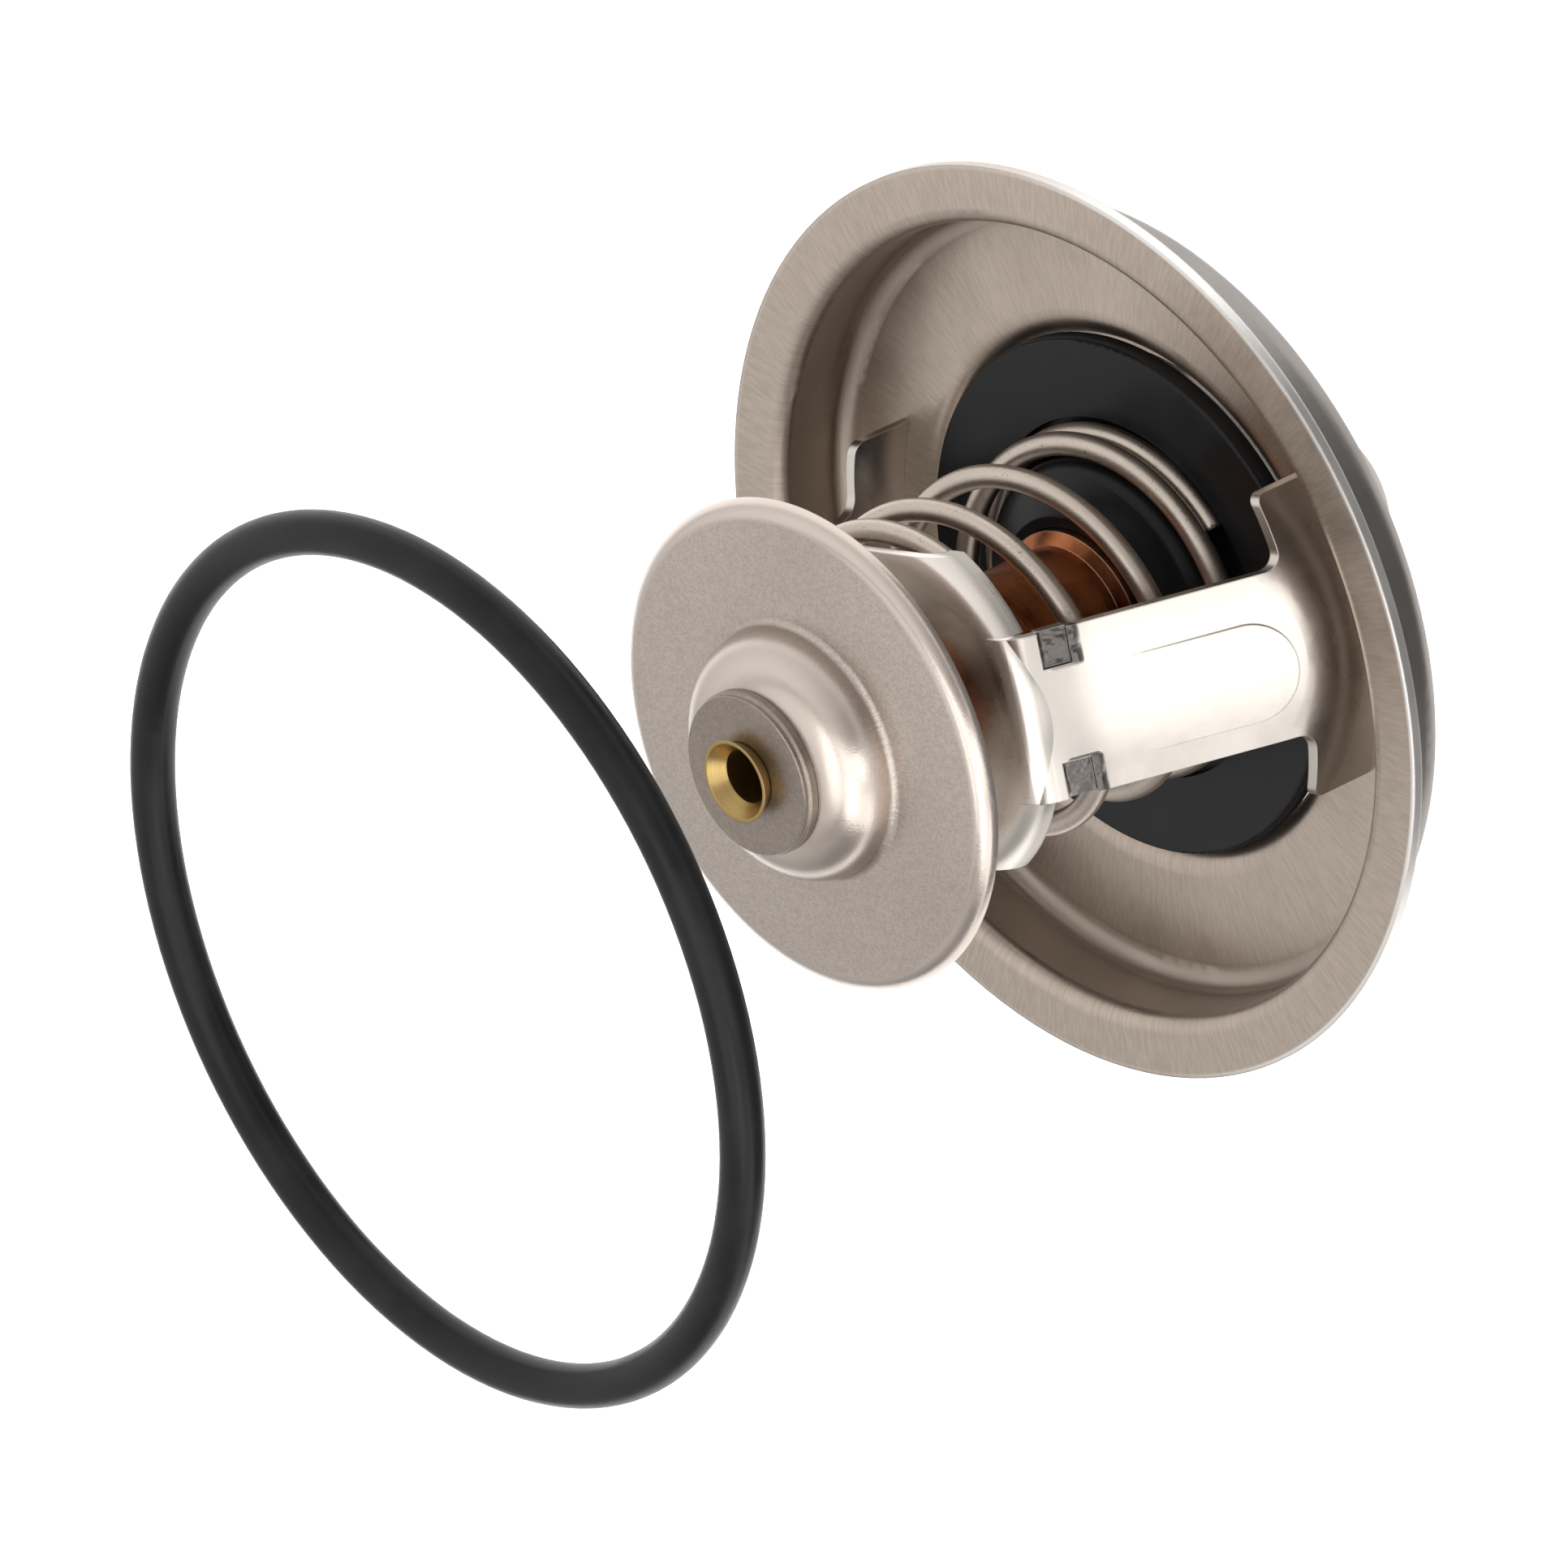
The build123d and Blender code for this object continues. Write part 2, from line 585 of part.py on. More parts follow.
def make_bypass_spring():
    """Light spring between the capsule's end and the inside of the dome."""
    low = CUP_TOP_Z + BYPASS_WIRE / 2
    high = DISC_INNER_TOP_Z - BYPASS_WIRE / 2
    count = round(BYPASS_TURNS * SPRING_POINTS_PER_TURN)
    points = []
    for index in range(count + 1):
        share = index / count
        angle = 2 * math.pi * BYPASS_TURNS * share
        x = BYPASS_MEAN_RADIUS * math.cos(angle)
        y = BYPASS_MEAN_RADIUS * math.sin(angle)
        points.append((x, y, low + (high - low) * share))
    return coil(points, BYPASS_WIRE / 2)


NODES = {
    "mounting_flange": make_mounting_flange,
    "lower_frame": make_lower_frame,
    "upper_bridge": make_upper_bridge,
    "piston": make_piston,
    "main_spring": make_main_spring,
    "sealing_ring": make_sealing_ring,
    "valve_seal": make_valve_seal,
    "valve_plate": make_valve_plate,
    "valve_retainer": make_valve_retainer,
    "capsule_cup": make_capsule_cup,
    "capsule_guide": make_capsule_guide,
    "anti_extrusion_disc": make_anti_extrusion_disc,
    "rubber_plug": make_rubber_plug,
    "diaphragm": make_diaphragm,
    "wax_charge": make_wax_charge,
    "bypass_stem": make_bypass_stem,
    "stem_washer": make_stem_washer,
    "bypass_disc": make_bypass_disc,
    "bypass_spring": make_bypass_spring,
}

os.makedirs("parts", exist_ok=True)
for name, make in NODES.items():
    piece = make()
    piece.label = name
    export_step(piece, f"parts/{name}.step")
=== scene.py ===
"""Engine thermostat: the finishes, the two springs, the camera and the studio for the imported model.

Laid out as an add-on and run as a script. Metres throughout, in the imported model's own frame: +Z runs
along the valve axis towards the bypass end, and +X points along one leg of the lower frame.
"""

from collections import namedtuple

import bmesh
import bpy
from bpy.props import FloatProperty, FloatVectorProperty, PointerProperty
from mathutils import Matrix, Vector


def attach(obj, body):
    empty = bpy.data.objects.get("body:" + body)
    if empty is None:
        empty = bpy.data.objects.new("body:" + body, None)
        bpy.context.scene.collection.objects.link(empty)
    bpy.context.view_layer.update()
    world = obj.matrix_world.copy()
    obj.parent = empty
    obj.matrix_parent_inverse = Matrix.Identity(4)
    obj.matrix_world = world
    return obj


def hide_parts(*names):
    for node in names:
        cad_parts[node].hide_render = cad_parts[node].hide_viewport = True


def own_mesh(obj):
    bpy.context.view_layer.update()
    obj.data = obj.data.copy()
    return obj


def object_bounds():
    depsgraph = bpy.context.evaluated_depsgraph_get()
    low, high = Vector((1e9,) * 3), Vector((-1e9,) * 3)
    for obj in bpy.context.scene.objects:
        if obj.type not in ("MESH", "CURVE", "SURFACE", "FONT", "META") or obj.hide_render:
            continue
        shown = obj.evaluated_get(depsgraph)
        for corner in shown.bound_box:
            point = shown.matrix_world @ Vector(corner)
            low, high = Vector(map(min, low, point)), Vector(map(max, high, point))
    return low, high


bl_info = {
    "name": "Engine Thermostat",
    "version": (1, 0, 0),
    "blender": (4, 5, 0),
    "location": "View3D > Sidebar > Thermostat",
    "description": "Finishes, springs, camera and studio for an engine thermostat",
    "category": "Object",
}

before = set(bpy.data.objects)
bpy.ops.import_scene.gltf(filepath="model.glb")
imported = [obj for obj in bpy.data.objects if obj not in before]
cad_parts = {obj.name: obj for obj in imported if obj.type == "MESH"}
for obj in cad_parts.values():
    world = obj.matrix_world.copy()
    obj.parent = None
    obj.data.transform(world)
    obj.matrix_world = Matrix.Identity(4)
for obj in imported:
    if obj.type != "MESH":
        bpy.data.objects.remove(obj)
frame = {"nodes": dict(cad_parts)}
CAD_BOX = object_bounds()

# The camera stands far back with a long lens, whose length is known in pixels of the square frame.
CAMERA_PLACE = Vector((0.98557501, 0.39450243, 0.82667454))
CAMERA_RIGHT = Vector((0.663605055, -0.193504452, -0.722623248))
CAMERA_UP = Vector((-0.099080001, 0.934722115, -0.341288327))
CAMERA_BACK = Vector((0.741492741, 0.298078171, 0.601113899))
LENS_PIXELS = 24000
FRAME_PIXELS = 1932
SENSOR_WIDTH_MM = 36
FAR_CLIP = 20

# The sky: its brightest direction, and how far a direction leans that way where it is darkest and brightest.
BRIGHT_SIDE = (-0.35, 0.45, 0.82)
SKY_LEAN = (-0.1, 0.9)

# Each softbox's direction from the thermostat, its distance from LAMP_AIM, its width and its height.
SOFTBOXES = {
    "key": ((0.919, -0.20, 0.265), 0.8, 0.35, 0.35),
    "side": ((0.62, -0.70, 0.33), 0.7, 0.45, 0.60),
    "top": ((0.50, -0.25, 0.83), 0.6, 0.60, 0.60),
}
LAMP_AIM = Vector((0, 0, 0.01))

# The floor glows by the first number for the camera and through glass, and by the second in a mirror.
SEEN_GLOW = 0.9
MIRRORED_GLOW = 0.5

# The flag is a dark card that lies between these two corners.
FLAG_CORNERS = ((0.036, -0.30), (0.40, 0.20))
FLAG_GREY = 0.16

# Places of the marks on the finishes. Each pair is (where a mark starts, where it is full), as a height, a
# radius from the valve axis, or a distance along X or beside the X axis.
BELOW_RIM_Z = (-0.0006, -0.0012)
# Where painted shade darkens the dish's inner wall, and where its outer wall is painted a dark grey of shade.
DISH_WALL_RADIUS = (0.0270, 0.0282)
OUTER_WALL_RADIUS = (0.0290, 0.0293)
# Where the painted highlight lies on the flange's rim, and how it grows towards +X.
RIM_EDGE_RADIUS = (0.03308, 0.03330)
RIM_HIGHLIGHT_X = (0.0, 0.016)
# The frame's pockets, which are also painted with shade.
POCKET_BESIDE = (0.0031, 0.0035)
POCKET_RADIUS = (0.0125, 0.0130)
POCKET_BOTTOM_Z = (0.0122, 0.0127)
POCKET_TOP_Z = (0.0147, 0.0143)
# Where painted shade darkens the frame's neck.
LEG_RADIUS = (0.0128, 0.0135)
NECK_SHADE_Z = (0.0110, 0.0136)
# Where a painted highlight lightens the base's lip.
LIP_HIGHLIGHT_RADIUS = (0.0110, 0.0126)
LIP_HIGHLIGHT_Z = (0.0156, 0.0162)
# The dome and the disc's rim, smoother and lightened by a painted highlight.
DOME_RADIUS = (0.0094, 0.0086)
DISC_RIM_RADIUS = (0.0165, 0.0170)
CREASE_INNER_RADIUS = (0.0088, 0.0094)
CREASE_OUTER_RADIUS = (0.0120, 0.0098)

# Where the frame's neck starts to roll over, and its base's lip, with the lip's reach.
ROLL_START_Z = 0.0112
LIP_START_RADIUS = 0.0106
LIP_REACH = 0.0035

# Drawing streaks have their stated width at this radius. Nearer the axis than the second they fan no further.
STREAK_RADIUS = 0.028
NEAR_AXIS = 0.0001

# Most of a noise value lies between these two.
NOISE_MIDDLE = (0.3, 0.7)

# The blasted grain holds a share of wider pits, and its gloss swings by so much either way.
COARSE_SHARE = 0.25
COARSE_SCALE = 0.35
ROUGHNESS_SWING = 0.04

# Cosines between the rounded and the flat normal where a cut edge starts and is full.
EDGE_COSINES = (0.985, 0.80)

# Colours of marks, beside the settings' own: painted shade on the flange's outer wall, painted highlights on
# its rim and on the cup's edge, and copper powder in the wax.
OUTER_WALL_SHADE = (0.285, 0.265, 0.248)
RIM_HIGHLIGHT_COLOUR = (0.78, 0.75, 0.72)
CUP_EDGE_HIGHLIGHT = (0.62, 0.52, 0.44)
COPPER_POWDER = (0.5, 0.24, 0.1)

MERGE_DISTANCE = 1e-7


# ---------------------------------------------------------------- settings
def colour_setting(name, description, default):
    """A colour that can be picked in the sidebar."""
    return FloatVectorProperty(
        name=name, description=description, default=default, subtype="COLOR", size=3, min=0, max=1
    )


def length_setting(name, description, default):
    """A length that can be set in the sidebar."""
    return FloatProperty(
        name=name, description=description, default=default, min=0, unit="LENGTH", precision=5
    )


def power_setting(name, description, default):
    """A lamp's power that can be set in the sidebar."""
    return FloatProperty(name=name, description=description, default=default, min=0, unit="POWER")


def strength_setting(name, description, default):
    """A plain strength that can be set in the sidebar."""
    return FloatProperty(name=name, description=description, default=default, min=0)


class ThermostatColours(bpy.types.PropertyGroup):
    """Base colours of the finishes."""

    flange: colour_setting("Flange steel", "Satin pressed steel of the flange", (0.46, 0.385, 0.325))
    frame: colour_setting("Frame steel", "Bright pressed steel of the frame and bridge", (0.57, 0.525, 0.48))
    disc: colour_setting("Disc steel", "Blasted steel of the discs and plates", (0.465, 0.405, 0.36))
    washer: colour_setting("Washer steel", "Grey steel of the stem's washer", (0.30, 0.255, 0.22))
    wire: colour_setting("Spring wire", "Smooth drawn wire of both springs", (0.54, 0.47, 0.405))
    copper: colour_setting("Copper", "Tarnished copper of the capsule's cup", (0.42, 0.15, 0.06))
    brass: colour_setting("Brass", "Turned brass of the stem and guide", (0.42, 0.29, 0.115))
    rubber: colour_setting("Rubber", "Matt moulded rubber", (0.008, 0.008, 0.0085))
    ground: colour_setting("Ground steel", "Polished steel of the piston", (0.58, 0.57, 0.56))
    wax: colour_setting("Wax", "Metal-filled wax inside the capsule", (0.30, 0.20, 0.10))
    plastic: colour_setting("Plastic", "White disc between piston and plug", (0.88, 0.88, 0.86))
    backdrop: colour_setting("Backdrop", "Floor under the thermostat", (0.86, 0.86, 0.86))


class ThermostatSizes(bpy.types.PropertyGroup):
    """Sizes of the finishes' marks and of the studio, and strengths of its lights."""

    streak_length: length_setting("Streak length", "Length of a drawing streak on pressed steel", 0.0016)
    streak_width: length_setting("Streak width", "Width of a drawing streak on pressed steel", 0.00022)
    grain_size: length_setting("Grain size", "Size of one pit of the blasted finish", 0.00016)
    edge_round: length_setting("Edge rounding", "Radius that the light finds on a cut edge", 0.00012)
    floor_drop: length_setting("Floor drop", "Gap between the lowest piece and the floor", 0.0002)
    floor_width: length_setting("Floor width", "Side of the square floor", 6.0)
    key_power: power_setting("Key lamp", "Power of the softbox that the leg mirrors", 0.90)
    top_power: power_setting("Top lamp", "Power of the softbox that the domes and lips mirror", 1.8)
    side_power: power_setting("Side lamp", "Power of the softbox beside the dome", 1.3)
    sky_strength: strength_setting("Sky", "Strength of the studio's light on its bright side", 1.18)
    sky_shade: strength_setting("Shaded side", "Strength of the studio's light on its far side", 0.35)


# ---------------------------------------------------------------- shader building blocks
def new_group(name, inputs, outputs):
    """An empty shader node group with its sockets; each input is (name, default value)."""
    tree = bpy.data.node_groups.new(name, "ShaderNodeTree")
    for socket_name, default in inputs:
        socket = tree.interface.new_socket(socket_name, in_out="INPUT", socket_type="NodeSocketFloat")
        socket.default_value = default
    for socket_name, kind in outputs:
        tree.interface.new_socket(socket_name, in_out="OUTPUT", socket_type=kind)
    return tree, tree.nodes.new("NodeGroupInput"), tree.nodes.new("NodeGroupOutput")


def give(tree, socket, value):
    """Feeds an input with a number or with another socket."""
    if isinstance(value, bpy.types.NodeSocket):
        tree.links.new(value, socket)
    else:
        socket.default_value = value


def math_node(tree, operation, *values):
    """A Math node fed with numbers or sockets; returns its output."""
    node = tree.nodes.new("ShaderNodeMath")
    node.operation = operation
    for socket, value in zip(node.inputs, values):
        give(tree, socket, value)
    return node.outputs[0]


def square(tree, value):
    """A value times itself."""
    return math_node(tree, "MULTIPLY", value, value)


def past(tree, value, start):
    """How far a value is past a start, and nothing before it."""
    return math_node(tree, "MAXIMUM", math_node(tree, "SUBTRACT", value, start), 0.0)


def all_of(tree, *masks):
    """The mask of where every given mask holds."""
    product = masks[0]
    for mask in masks[1:]:
        product = math_node(tree, "MULTIPLY", product, mask)
    return product


def remap(tree, value, low, high, to_low=0.0, to_high=1.0, smooth=True):
    """A Map Range node, clamped at both ends; returns its output."""
    node = tree.nodes.new("ShaderNodeMapRange")
    node.interpolation_type = "SMOOTHSTEP" if smooth else "LINEAR"
    tree.links.new(value, node.inputs["Value"])
    for name, number in (("From Min", low), ("From Max", high), ("To Min", to_low), ("To Max", to_high)):
        node.inputs[name].default_value = number
    return node.outputs["Result"]


def spread(tree, value, to_low=0.0, to_high=1.0):
    """Stretches the middle of a noise value over a range."""
    return remap(tree, value, *NOISE_MIDDLE, to_low, to_high)


def noise(tree, vector, scale, detail, roughness):
    """A Noise Texture's value on a vector; scale is a number of blobs to the metre, or a socket."""
    node = tree.nodes.new("ShaderNodeTexNoise")
    tree.links.new(vector, node.inputs["Vector"])
    give(tree, node.inputs["Scale"], scale)
    node.inputs["Detail"].default_value = detail
    node.inputs["Roughness"].default_value = roughness
    return node.outputs["Fac"]


Place = namedtuple("Place", "point x y z radius")


def object_place(tree):
    """The point's place in the object, its coordinates, and its distance from the valve axis."""
    point = tree.nodes.new("ShaderNodeTexCoord").outputs["Object"]
    parts = tree.nodes.new("ShaderNodeSeparateXYZ")
    tree.links.new(point, parts.inputs[0])
    x, y, z = parts.outputs
    radius = math_node(tree, "SQRT", math_node(tree, "MULTIPLY_ADD", y, y, square(tree, x)))
    return Place(point, x, y, z, radius)


# ---------------------------------------------------------------- shared effects
def drawing_streaks_group():
    """Streaks that a press tool leaves, running outwards from the valve axis and down walls."""
    tree, given, result = new_group(
        "Drawing Streaks",
        [("Width", 0.0002), ("Length", 0.003)],
        [("Streaks", "NodeSocketFloat"), ("Patches", "NodeSocketFloat")],
    )
    here = object_place(tree)
    run = math_node(tree, "SUBTRACT", here.radius, here.z)
    density = math_node(tree, "DIVIDE", STREAK_RADIUS, given.outputs["Width"])
    reach = math_node(tree, "MAXIMUM", here.radius, NEAR_AXIS)
    vector = tree.nodes.new("ShaderNodeCombineXYZ")
    for axis, part in (("X", here.x), ("Y", here.y)):
        turn = math_node(tree, "MULTIPLY", math_node(tree, "DIVIDE", part, reach), density)
        tree.links.new(turn, vector.inputs[axis])
    tree.links.new(math_node(tree, "DIVIDE", run, given.outputs["Length"]), vector.inputs["Z"])
    streaks = noise(tree, vector.outputs[0], scale=1.0, detail=3.0, roughness=0.6)
    patches = noise(tree, here.point, scale=130.0, detail=2.0, roughness=0.5)
    tree.links.new(streaks, result.inputs["Streaks"])
    tree.links.new(patches, result.inputs["Patches"])
    return tree


def blasted_grain_group():
    """The fine pits of a blasted or etched sheet, and a wider mottle."""
    tree, given, result = new_group(
        "Blasted Grain",
        [("Size", 0.00016)],
        [("Grain", "NodeSocketFloat"), ("Mottle", "NodeSocketFloat")],
    )
    here = object_place(tree)
    scale = math_node(tree, "DIVIDE", 1.0, given.outputs["Size"])
    fine = noise(tree, here.point, scale, detail=2.0, roughness=0.6)
    wider = math_node(tree, "MULTIPLY", scale, COARSE_SCALE)
    coarse = noise(tree, here.point, wider, detail=1.0, roughness=0.5)
    fine_part = math_node(tree, "MULTIPLY", fine, 1 - COARSE_SHARE)
    grain = math_node(tree, "MULTIPLY_ADD", coarse, COARSE_SHARE, fine_part)
    mottle = noise(tree, here.point, scale=170.0, detail=3.0, roughness=0.6)
    tree.links.new(grain, result.inputs["Grain"])
    tree.links.new(mottle, result.inputs["Mottle"])
    return tree


def turning_rings_group():
    """Rings left by a lathe or a drawing die round the valve axis."""
    tree, given, result = new_group(
        "Turning Rings", [("Pitch", 0.0002), ("Uneven", 0.3)], [("Rings", "NodeSocketFloat")]
    )
    here = object_place(tree)
    run = math_node(tree, "ADD", here.radius, here.z)
    drift = noise(tree, here.point, scale=300.0, detail=1.0, roughness=0.5)
    vector = tree.nodes.new("ShaderNodeCombineXYZ")
    tree.links.new(math_node(tree, "MULTIPLY", drift, given.outputs["Uneven"]), vector.inputs["X"])
    tree.links.new(math_node(tree, "DIVIDE", run, given.outputs["Pitch"]), vector.inputs["Z"])
    rings = noise(tree, vector.outputs[0], scale=1.0, detail=2.0, roughness=0.6)
    tree.links.new(rings, result.inputs["Rings"])
    return tree


def soft_edge_group():
    """Cut edges as the light finds them: a rounded normal, and a mask of where the edges are."""
    tree, given, result = new_group(
        "Soft Edge", [("Radius", 0.0001)], [("Normal", "NodeSocketVector"), ("Edge", "NodeSocketFloat")]
    )
    bevel = tree.nodes.new("ShaderNodeBevel")
    bevel.samples = 4
    tree.links.new(given.outputs["Radius"], bevel.inputs["Radius"])
    geometry = tree.nodes.new("ShaderNodeNewGeometry")
    facing = tree.nodes.new("ShaderNodeVectorMath")
    facing.operation = "DOT_PRODUCT"
    tree.links.new(bevel.outputs["Normal"], facing.inputs[0])
    tree.links.new(geometry.outputs["Normal"], facing.inputs[1])
    tree.links.new(bevel.outputs["Normal"], result.inputs["Normal"])
    tree.links.new(remap(tree, facing.outputs["Value"], *EDGE_COSINES), result.inputs["Edge"])
    return tree


GROUPS = {}


def build_groups():
    """Builds each shared effect once."""
    GROUPS["streaks"] = drawing_streaks_group()
    GROUPS["grain"] = blasted_grain_group()
    GROUPS["rings"] = turning_rings_group()
    GROUPS["edge"] = soft_edge_group()


class Finish:
    """A material under construction: its tree, its Principled shader and short ways to feed it."""

    def __init__(self, name, metallic, roughness):
        self.material = bpy.data.materials.new(name)
        self.material.use_nodes = True
        self.tree = self.material.node_tree
        self.shader = self.tree.nodes["Principled BSDF"]
        self.shader.inputs["Metallic"].default_value = metallic
        self.shader.inputs["Roughness"].default_value = roughness

    def effect(self, key, **values):
        """Places a shared effect with this finish's own values; returns its outputs."""
        node = self.tree.nodes.new("ShaderNodeGroup")
        node.node_tree = GROUPS[key]
        for name, value in values.items():
            node.inputs[name].default_value = value
        return node.outputs

    def colour_between(self, mask, first, second):
        """A colour that goes from the first to the second as the mask goes from 0 to 1."""
        node = self.tree.nodes.new("ShaderNodeMix")
        node.data_type = "RGBA"
        slots = [socket for socket in node.inputs if socket.type == "RGBA"]
        factor = [socket for socket in node.inputs if socket.type == "VALUE"][0]
        for socket, value in zip(slots, (first, second)):
            give(self.tree, socket, value if isinstance(value, bpy.types.NodeSocket) else (*value, 1))
        self.tree.links.new(mask, factor)
        return [socket for socket in node.outputs if socket.type == "RGBA"][0]

    def feed(self, name, socket):
        """Joins a socket to one of the shader's inputs."""
        self.tree.links.new(socket, self.shader.inputs[name])

    def bump(self, height, distance, strength, normal=None):
        """Adds relief of so many metres; returns the normal."""
        node = self.tree.nodes.new("ShaderNodeBump")
        node.inputs["Strength"].default_value = strength
        node.inputs["Distance"].default_value = distance
        self.tree.links.new(height, node.inputs["Height"])
        if normal is not None:
            self.tree.links.new(normal, node.inputs["Normal"])
        return node.outputs["Normal"]

    def curve(self, distance, steepness, normal):
        """Bends the surface in the light, as if it fell by steepness times a distance's square."""
        height = math_node(self.tree, "MULTIPLY", square(self.tree, distance), -steepness)
        return self.bump(height, distance=1.0, strength=1.0, normal=normal)


def shade(colour, factor):
    """A colour made darker or lighter."""
    return tuple(min(channel * factor, 1) for channel in colour)


# ---------------------------------------------------------------- finishes
def pressed_steel(colour, sizes):
    """Satin pressed steel with fine drawing streaks, painted shade on the dish's walls, and a painted
    highlight on the cut rim.
    """
    finish = Finish("pressed_steel", metallic=1.0, roughness=0.36)
    streaks = finish.effect("streaks", Width=sizes.streak_width, Length=sizes.streak_length)
    grain = finish.effect("grain", Size=sizes.grain_size)
    edge = finish.effect("edge", Radius=2 * sizes.edge_round)
    tree = finish.tree
    here = object_place(tree)

    tint = finish.colour_between(spread(tree, streaks["Streaks"]), shade(colour, 0.90), shade(colour, 1.06))
    below = remap(tree, here.z, *BELOW_RIM_Z)
    wall_shade = all_of(tree, below, remap(tree, here.radius, *DISH_WALL_RADIUS))
    # Painted shade on the dish's inner wall.
    tint = finish.colour_between(wall_shade, tint, shade(colour, 0.74))
    outer_wall_shade = all_of(tree, below, remap(tree, here.radius, *OUTER_WALL_RADIUS))
    # Painted shade on the dish's outer wall: a dark grey for the dark it mirrors.
    tint = finish.colour_between(outer_wall_shade, tint, OUTER_WALL_SHADE)
    # A painted highlight on the cut edges and the rim, faint all round and full towards +X.
    cut = math_node(tree, "MAXIMUM", edge["Edge"], remap(tree, here.radius, *RIM_EDGE_RADIUS))
    rim_highlight = all_of(tree, cut, remap(tree, here.x, *RIM_HIGHLIGHT_X, to_low=0.2, to_high=1.0))
    finish.feed("Base Color", finish.colour_between(rim_highlight, tint, RIM_HIGHLIGHT_COLOUR))

    finish.feed("Roughness", spread(tree, streaks["Patches"], 0.31, 0.42))

    normal = finish.curve(here.radius, 1.3, edge["Normal"])
    normal = finish.bump(streaks["Streaks"], distance=0.000012, strength=0.5, normal=normal)
    finish.feed("Normal", finish.bump(grain["Grain"], distance=0.000014, strength=0.7, normal=normal))
    return finish.material


def bright_steel(colour, sizes):
    """Smooth bright strip steel, crowned by the press, with rolled necks and torn pockets, painted shade on
    the necks and in the pockets, and painted highlights on the lip and the edges.
    """
    finish = Finish("bright_steel", metallic=1.0, roughness=0.26)
    grain = finish.effect("grain", Size=sizes.grain_size)
    edge = finish.effect("edge", Radius=sizes.edge_round)
    tree = finish.tree
    here = object_place(tree)

    pocket = all_of(
        tree,
        remap(tree, math_node(tree, "ABSOLUTE", here.y), *POCKET_BESIDE),
        remap(tree, here.radius, *POCKET_RADIUS),
        remap(tree, here.z, *POCKET_BOTTOM_Z),
        remap(tree, here.z, *POCKET_TOP_Z),
    )
    neck_shade = all_of(tree, remap(tree, here.radius, *LEG_RADIUS), remap(tree, here.z, *NECK_SHADE_Z))
    lip_highlight = all_of(tree, remap(tree, here.radius, *LIP_HIGHLIGHT_RADIUS), remap(tree, here.z, *LIP_HIGHLIGHT_Z))
    tint = finish.colour_between(spread(tree, grain["Mottle"]), shade(colour, 0.94), shade(colour, 1.06))
    # Painted shade where the neck turns away from the light.
    tint = finish.colour_between(neck_shade, tint, shade(colour, 0.66))
    # Painted highlight on the base's lip.
    tint = finish.colour_between(lip_highlight, tint, shade(colour, 1.35))
    # Painted shade inside the pockets.
    tint = finish.colour_between(pocket, tint, shade(colour, 0.18))
    # Painted highlight on the cut edges.
    finish.feed("Base Color", finish.colour_between(edge["Edge"], tint, shade(colour, 1.3)))

    finish.feed("Roughness", spread(tree, grain["Mottle"], 0.25, 0.31))

    reach = math_node(tree, "MINIMUM", past(tree, here.radius, LIP_START_RADIUS), LIP_REACH)
    crumple = noise(tree, here.point, scale=900.0, detail=2.0, roughness=0.5)
    normal = finish.curve(here.y, 10.0, edge["Normal"])
    normal = finish.curve(past(tree, here.z, ROLL_START_Z), 25.0, normal)
    normal = finish.curve(reach, 80.0, normal)
    normal = finish.bump(all_of(tree, crumple, pocket), distance=0.0003, strength=0.8, normal=normal)
    finish.feed("Normal", finish.bump(grain["Grain"], distance=0.000004, strength=0.4, normal=normal))
    return finish.material


def blasted_steel(name, colour, sizes, roughness, domed=False):
    """Fine matt blasted steel with painted highlights on its edges; domed adds a smoother rubbed dome and
    rim, lightened by a painted highlight, and creases round the dome's foot.
    """
    finish = Finish(name, metallic=1.0, roughness=roughness)
    grain = finish.effect("grain", Size=sizes.grain_size)
    edge = finish.effect("edge", Radius=sizes.edge_round)
    tree = finish.tree
    tone = remap(tree, grain["Grain"], 0.38, 0.62)
    tint = finish.colour_between(tone, shade(colour, 0.90), shade(colour, 1.10))
    rough = spread(tree, grain["Mottle"], roughness - ROUGHNESS_SWING, roughness + ROUGHNESS_SWING)
    normal = edge["Normal"]
    if domed:
        here = object_place(tree)
        dome = remap(tree, here.radius, *DOME_RADIUS)
        rubbed_and_highlight = math_node(tree, "MAXIMUM", dome, remap(tree, here.radius, *DISC_RIM_RADIUS))
        # Painted highlight on the dome and the disc's rim, where they are also smoother.
        tint = finish.colour_between(rubbed_and_highlight, tint, shade(colour, 1.22))
        rough = math_node(tree, "MULTIPLY_ADD", rubbed_and_highlight, -0.10, rough)
        streaks = finish.effect("streaks", Width=0.0003, Length=0.003)
        outer = remap(tree, here.radius, *CREASE_OUTER_RADIUS)
        inner = remap(tree, here.radius, *CREASE_INNER_RADIUS)
        creases = all_of(tree, streaks["Streaks"], all_of(tree, outer, inner))
        normal = finish.curve(here.radius, 3.4, normal)
        normal = finish.bump(creases, distance=0.00006, strength=0.7, normal=normal)
    # Painted highlight on the cut edges.
    finish.feed("Base Color", finish.colour_between(edge["Edge"], tint, shade(colour, 1.4)))
    finish.feed("Roughness", rough)
    finish.feed("Normal", finish.bump(grain["Grain"], distance=0.000016, strength=0.8, normal=normal))
    return finish.material


